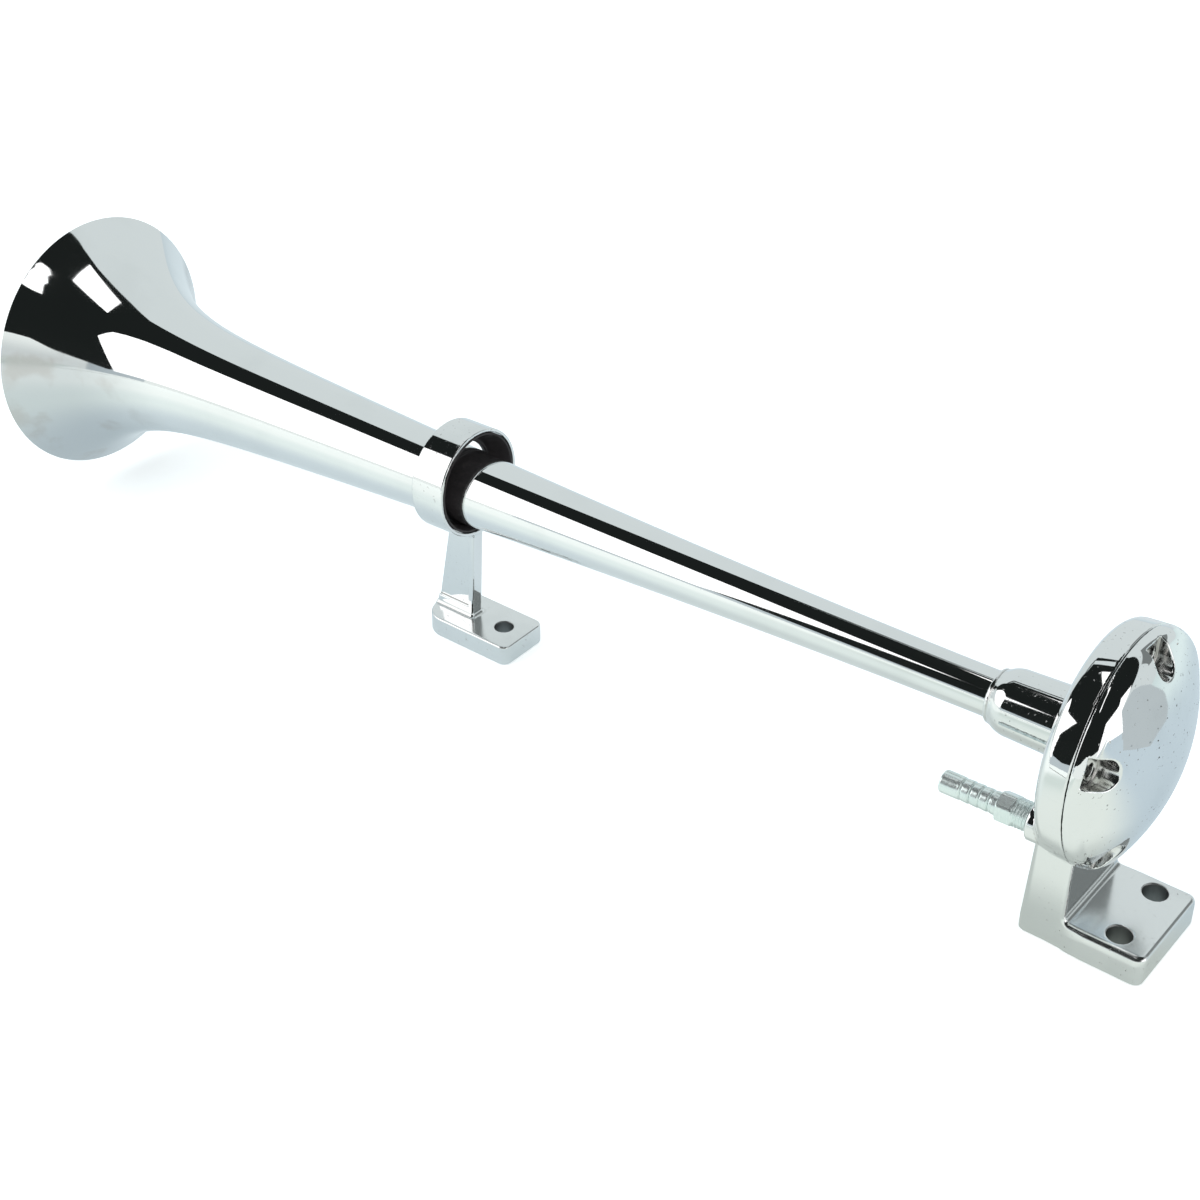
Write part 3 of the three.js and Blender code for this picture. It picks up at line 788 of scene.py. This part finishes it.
def bracket_field(x, y, z):
    along, across, up = to_line(x, y, z)
    out = ring_distance(across, up, 0, RING_RISE)
    ends = np.abs(along - RING_ALONG) - RING_HALF
    ring = meet(out - RING_RADIUS, ends, 0.45)
    height = (z - STEM_FOOT) / STEM_HEIGHT
    middle = RING_X - 5.0 + height * STEM_LEAN
    half = STEM_HALF - height * STEM_TAPER
    stem = meet((np.abs(x - middle) - half) * STEM_SLANT, np.abs(y) - STEM_THICK, 0.7)
    stem = np.maximum(stem, np.maximum(z - 48, -z))
    rib = (x - middle - half + RIB_WIDTH) * STEM_SLANT
    panel = np.maximum(meet(rib, z - 39.0, 3.5), 10.5 - z)
    sunk = np.maximum(panel, PANEL_DEPTH - np.abs(y))
    stem = cut(stem, sunk, 0.4)
    outline = plate(x, y, FOOT_START, FOOT_DRIVER_END, FOOT_WIDTH, 8.0, 3.0)
    foot = meet(meet(outline, z - FOOT_TOP, 0.8), -z, 0.4)
    bracket = join(join(ring, stem, 2.6), foot, 1.7)
    bracket = np.maximum(bracket, -z)
    bracket = cut(bracket, out - RING_BORE, 0.3)
    return cut(bracket, ring_distance(x, y, RING_X + HOLE_OFFSET, 0) - BRACKET_HOLE, 0.45)


bracket_hole = (RING_X + HOLE_OFFSET, 0, BRACKET_HOLE)
bracket_chrome = chromed(
    "bracket_chrome", haze=0.55, ripple=0.004, pits=0.35, satin=(6.8, 9.0), hole=bracket_hole,
    cast=True,
)
bracket_low, bracket_high = (-265, -20, -1), (-223, 20, 80)
bracket = casting("bracket", bracket_field, bracket_low, bracket_high, 0.42, bracket_chrome)
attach(bracket, "bracket")
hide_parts("front_bracket")


# Bushing: moulded black rubber that fills the ring. It dishes in from each face to a lip that
# sits low on the tube, so that the horn can't ring against its bracket. The lip stands a little
# clear of the tube, so that it can slide to where the tube is wider.
RUBBER_RADIUS = 17.15
RUBBER_MIDDLE = 13.6
DISH_DEPTH = 2.9
LIP_HOLE = 13.75
LIP_RISE = 0.7
LIP_START = RING_ALONG - 3.0
LIP_STOP = RING_ALONG - 1.0
RUBBER_LIGHT = (0.085, 0.07, 0.072, 1)
RUBBER_DARK = (0.022, 0.017, 0.019, 1)


def bushing_field(x, y, z):
    along, across, up = to_line(x, y, z)
    out = ring_distance(across, up, 0, RING_RISE)
    near_tube = ring_distance(across, up, 0, LIP_RISE)
    face = np.abs(along - RING_ALONG) - RING_HALF
    blank = meet(out - RUBBER_RADIUS, face, 0.5)
    driver_share = (along - LIP_STOP) / (RING_ALONG + RING_HALF - LIP_STOP)
    bell_share = (LIP_START - along) / (LIP_START - RING_ALONG + RING_HALF)
    outward_share = np.maximum(driver_share, bell_share)
    share = np.clip(outward_share, 0, 1.2)
    dish = (out - (RUBBER_MIDDLE + DISH_DEPTH * share ** 0.8)) * 0.9
    dish = np.where(share > 0, dish, out - RUBBER_MIDDLE)
    blank = cut(blank, np.maximum(dish, -outward_share * 4), 0.4)
    return cut(blank, near_tube - LIP_HOLE, 0.35)


bushing_rubber = soft_sheet(
    "bushing_rubber", RUBBER_LIGHT, RUBBER_DARK, 1200, roughness=0.42, relief=0.01
)
bushing_low, bushing_high = (-258, -18.5, 40), (-241, 18.5, 80)
bushing = casting("bushing", bushing_field, bushing_low, bushing_high, 0.4, bushing_rubber)
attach(bushing, "bushing")
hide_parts("bracket_bushing")


# Studio: a pale floor, soft light, and the screens that chrome is photographed with. Chrome shows
# only what stands around it: a white softbox in front on the left, dark cloth over it and beyond
# it, and paper everywhere else. The screens are seen in reflections alone.
HORN_MIDDLE = Vector((-0.2, 0.0, 0.06))
PAPER = (0.80, 0.85, 0.86, 1)
WHITE = (1, 1, 1, 1)


def glow(name, colour, strength=1.0):
    """A cloth, card or softbox that shows at one even tone."""
    material = blank_material(name)
    tree = material.node_tree
    light = node(tree, "ShaderNodeEmission", inputs={"Color": (*colour, 1), "Strength": strength})
    node(tree, "ShaderNodeOutputMaterial", inputs={"Surface": light})
    return material


def screen(name, corners, material, faces=None):
    """A panel that only reflections see."""
    mesh = bpy.data.meshes.new(name)
    mesh.from_pydata(corners, [], faces or [tuple(range(len(corners)))])
    mesh.materials.append(material)
    panel = put(name, mesh)
    panel.visible_camera = False
    panel.visible_diffuse = False
    panel.visible_shadow = False
    panel.visible_transmission = False


def level(points, height):
    """The corners of a panel that lies level, from x and y."""
    return [(x, y, height) for x, y in points]


def along_horn(points, y):
    """The corners of a panel that stands beside the horn, from x and z."""
    return [(x, y, z) for x, z in points]


def behind_cover(points, x):
    """The corners of a panel that stands past the cover, from y and z."""
    return [(x, y, z) for y, z in points]


cloth = glow("dark_cloth", (0.012, 0.0145, 0.014))
softbox = glow("softbox_cloth", (1.0, 1.0, 1.0), 1.5)
grey_card = glow("grey_card", (0.54, 0.61, 0.64))
# Dark grey for a strip on the floor that only reflections see.
dark_strip = glow("floor_tape", (0.2, 0.21, 0.2))
pale_card = glow("pale_card", (0.9, 0.95, 0.93))
dark_card = glow("dark_card", (0.2, 0.22, 0.22))
mid_card = glow("mid_grey_card", (0.53, 0.59, 0.61))

SOFTBOX_SIDE = -0.87
SOFTBOX_TOP = 0.59
side_edge = [(-0.575, 0.1), (-0.57, 0.31), (-0.555, 0.5)]
top_edge = [(-0.38, -0.6), (-0.43, -0.46), (-0.46, -0.395), (-0.53, -0.34), (-0.62, -0.285)]
top_edge += [(-0.7, -0.257), (-1.8, -0.22)]
corners = along_horn(side_edge, SOFTBOX_SIDE) + level(top_edge, SOFTBOX_TOP)
corners += [(-2.2, -1.6, 0.05)]
fan = [(0, i, i + 1) for i in range(1, len(corners) - 1)]
screen("front_softbox", corners, softbox, fan)

CLOTH_HEIGHT = 0.6
GAP_HEIGHT = 0.58
WINDOW_HEIGHT = 1.05
UPPER_HEIGHT = 1.1
cloth_near = [(-2.0, -1.6), (2.0, -1.6)]
cloth_far = [(2.0, 0.5), (0.3, 0.3), (-0.21, 0.22), (-0.235, 0.18), (-0.389, 0.127)]
cloth_far += [(-0.478, 0.1), (-0.586, 0.044), (-0.7, 0.064), (-0.9, 0.08), (-2.0, 0.14)]
hole = [(-0.415, -0.2), (-0.175, -0.095), (-0.235, 0.155), (-0.465, 0.03)]
round_hole = [(0, 1, 13, 12), (1, 2, 3, 4, 5, 14, 13)]
round_hole += [(0, 12, 15, 6, 7, 8, 9, 10, 11), (15, 14, 5, 6)]
corners = level(cloth_near + cloth_far + hole, CLOTH_HEIGHT)
screen("ceiling_cloth", corners, cloth, round_hole)
upper = [(-1.1, -0.75), (0.3, -0.75), (0.3, 0.42), (0.0, 0.42), (-0.195, 0.31), (-0.37, 0.24)]
upper += [(-0.552, 0.185), (-0.774, 0.08), (-1.1, 0.0)]
screen("upper_cloth", level(upper, UPPER_HEIGHT), cloth)
window = [(-0.118, 0.263), (-0.472, 0.058), (-0.388, -0.313), (-0.016, -0.134)]
screen("window", level(window, WINDOW_HEIGHT), softbox)
gap = [(-0.035, -0.272), (-0.07, -0.2), (-0.08, -0.15), (-0.118, -0.09), (-0.134, -0.1)]
gap += [(-0.13, -0.135), (-0.117, -0.16), (-0.106, -0.21), (-0.088, -0.24), (-0.055, -0.335)]
gap += [(-0.02, -0.345), (-0.015, -0.3)]
screen("cloth_gap", level(gap, GAP_HEIGHT), softbox)

WALL = -1.3
CARD_SPACE = 0.02
PAPER_SPACE = 0.03
FAR_WALL = 0.6
draped = [(-2.6, 0.24), (-0.75, 0.2), (-0.6, 0.135), (-0.25, 0.237), (0.06, 0.309), (0.39, 0.441)]
draped += [(2.4, 0.6), (2.4, 1.2), (-2.6, 1.2)]
screen("wall_cloth", along_horn(draped, WALL), cloth)
card = [(-0.98, -0.01), (-0.35, -0.01), (-0.35, 0.5), (-0.98, 0.5)]
screen("wall_card", along_horn(card, WALL - CARD_SPACE), grey_card)
sheet = [(-2.6, -0.01), (2.4, -0.01), (2.4, 0.65), (-2.6, 0.65)]
screen("wall_paper", along_horn(sheet, WALL - PAPER_SPACE), pale_card)
card = [(0.06, 0.22), (0.7, 0.22), (0.7, 0.9), (0.06, 0.9)]
screen("back_card", along_horn(card, FAR_WALL), dark_card)

BOARD_PLACE = 0.505
BOX_PLACE = 0.5
ON_FLOOR = 0.001
board = [(-0.02, 0.03), (0.125, 0.03), (0.14, 0.13), (0.16, 0.4), (-0.02, 0.5)]
screen("driver_softbox", behind_cover(board, BOX_PLACE), softbox)
mat = [(0.173, 0.105), (0.182, 0.142), (0.175, 0.178), (0.213, 0.235), (0.355, 0.375)]
mat += [(0.5, 0.5), (0.5, 0.125), (0.313, 0.071)]
screen("grey_mat", level(mat, ON_FLOOR), mid_card)
board = [(0.12, 0), (0.5, 0), (0.39, 0.09), (0.31, 0.13), (0.22, 0.155), (0.13, 0.12)]
screen("grey_board", behind_cover(board, BOARD_PLACE), mid_card)
corners = [(0.7, -0.4, 0.15), (1.1, 0.15, 0.15), (1.0, 0.12, 0.8), (0.62, -0.4, 0.8)]
screen("side_softbox", corners, softbox)
# A dark grey strip lying on the floor, seen only in reflections.
dark_strip_line = [(-0.1, -0.33, 0.012), (-0.155, -0.47, 0.02), (-0.5, -0.76, 0.03)]
dark_strip_line += [(-0.95, -1.0, 0.03), (-1.6, -1.2, 0.03)]
strip = [(x, y) for x, y, width in dark_strip_line]
strip += [(x, y - width) for x, y, width in reversed(dark_strip_line)]
screen("floor_tape", level(strip, ON_FLOOR), dark_strip)

FLOOR_REACH = 4.0
FLOOR_DROP = -0.0003
floor_mesh = bpy.data.meshes.new("floor")
ends = [(-FLOOR_REACH, -FLOOR_REACH), (FLOOR_REACH, -FLOOR_REACH)]
ends += [(FLOOR_REACH, FLOOR_REACH), (-FLOOR_REACH, FLOOR_REACH)]
floor_mesh.from_pydata(level(ends, FLOOR_DROP), [], [(0, 1, 2, 3)])
floor = put("floor", floor_mesh)


def tones(across, tone, steps):
    """The floor's tone in reflections, which changes to the next between each pair of places."""
    for low, high, shade in steps:
        tone = mixed(ramp(across, low, high), tone, (*shade, 1))
    return tone


paper = blank_material("floor_paper")
tree = paper.node_tree
seen = node(tree, "ShaderNodeLightPath", out="Is Camera Ray")
mirrored = node(tree, "ShaderNodeLightPath", out="Is Glossy Ray")
through = node(tree, "ShaderNodeLightPath", out="Is Transmission Ray")
along, across = own_place(tree, 0), own_place(tree, 1)
# In reflections the floor shows painted tones; darker under and beside the horn, they are painted
# shadow.
left_steps = [(-0.2, -0.09, (0.62, 0.7, 0.68)), (-0.09, -0.03, (0.43, 0.51, 0.545))]
left_steps += [(-0.01, 0.03, (0.48, 0.56, 0.6))]
left_tone = tones(across, (0.76, 0.81, 0.78, 1), left_steps)
middle_steps = [(-0.24, -0.1, (0.58, 0.65, 0.62)), (-0.08, -0.02, (0.44, 0.5, 0.49))]
middle_steps += [(0.0, 0.03, (0.5, 0.55, 0.58))]
middle_tone = tones(across, (0.46, 0.53, 0.49, 1), middle_steps)
# Beside the housing's foot the reflected floor is darker still: a painted contact shadow.
painted_foot_shadow = (1 - ramp(along, 0.01, 0.04)) * ramp(across, -0.045, -0.026)
right_tone = mixed(painted_foot_shadow, (0.6, 0.65, 0.6, 1), (0.36, 0.4, 0.37, 1))
right_steps = [(-0.01, 0.04, (0.37, 0.46, 0.52)), (0.13, 0.4, (0.59, 0.7, 0.7))]
right_tone = tones(across, right_tone, right_steps)
tone = mixed(ramp(along, -0.26, -0.14), left_tone, middle_tone)
tone = mixed(ramp(along, -0.12, -0.05), tone, right_tone)
lit = node(tree, "ShaderNodeBsdfDiffuse", inputs={"Color": PAPER})
backing = {"Color": WHITE, "Strength": (seen + through) * 0.55}
backed = node(tree, "ShaderNodeEmission", inputs=backing)
open_floor = node(tree, "ShaderNodeAddShader", inputs={0: lit, 1: backed})
dim = node(tree, "ShaderNodeBsdfDiffuse", inputs={"Color": (0.28, 0.29, 0.29, 1)})
toned = node(tree, "ShaderNodeEmission", inputs={"Color": tone, "Strength": 1.0})
mirrored_floor = node(tree, "ShaderNodeAddShader", inputs={0: dim, 1: toned})
both = node(tree, "ShaderNodeMixShader", inputs={0: mirrored, 1: open_floor, 2: mirrored_floor})
node(tree, "ShaderNodeOutputMaterial", inputs={"Surface": both})
floor_mesh.materials.append(paper)

world = bpy.data.worlds.new("studio")
bpy.context.scene.world = world
world.use_nodes = True
tree = world.node_tree
tree.nodes.clear()
seen = node(tree, "ShaderNodeLightPath", out="Is Camera Ray")
through = node(tree, "ShaderNodeLightPath", out="Is Transmission Ray")
mirrored = node(tree, "ShaderNodeLightPath", out="Is Glossy Ray")
shade = mixed(seen + through, (0.79, 0.86, 0.865, 1), WHITE)
strength = (seen + through) * 0.5 + mirrored * 0.38 + 0.5
sky = node(tree, "ShaderNodeBackground", inputs={"Color": shade, "Strength": strength})
node(tree, "ShaderNodeOutputWorld", inputs={"Surface": sky})


def lamp(name, place, size, power):
    """A round soft lamp, aimed at the horn's middle. Reflections don't see it."""
    light = bpy.data.lights.new(name, "AREA")
    light.shape = "DISK"
    light.size = size
    light.energy = power
    holder = put(name, light)
    holder.location = HORN_MIDDLE + Vector(place)
    holder.rotation_euler = (-Vector(place)).to_track_quat("-Z", "Y").to_euler()
    holder.visible_glossy = False


lamp("front_lamp", (-0.6, -0.9, 0.9), 1.0, 9)
lamp("top_lamp", (0.5, 0.3, 1.3), 1.2, 6)

CAMERA_PLACE = (0.158824, -0.448473, 0.423168)
CAMERA_TURN = (55.7743, 0.0105, 38.1106)
CAMERA_LENS = 64.298
view = bpy.context.scene.view_settings
view.view_transform = "Standard"
lens = bpy.data.cameras.new("camera")
lens.lens = CAMERA_LENS
camera = put("camera", lens)
camera.location = CAMERA_PLACE
camera.rotation_euler = tuple(math.radians(a) for a in CAMERA_TURN)
bpy.context.scene.camera = camera
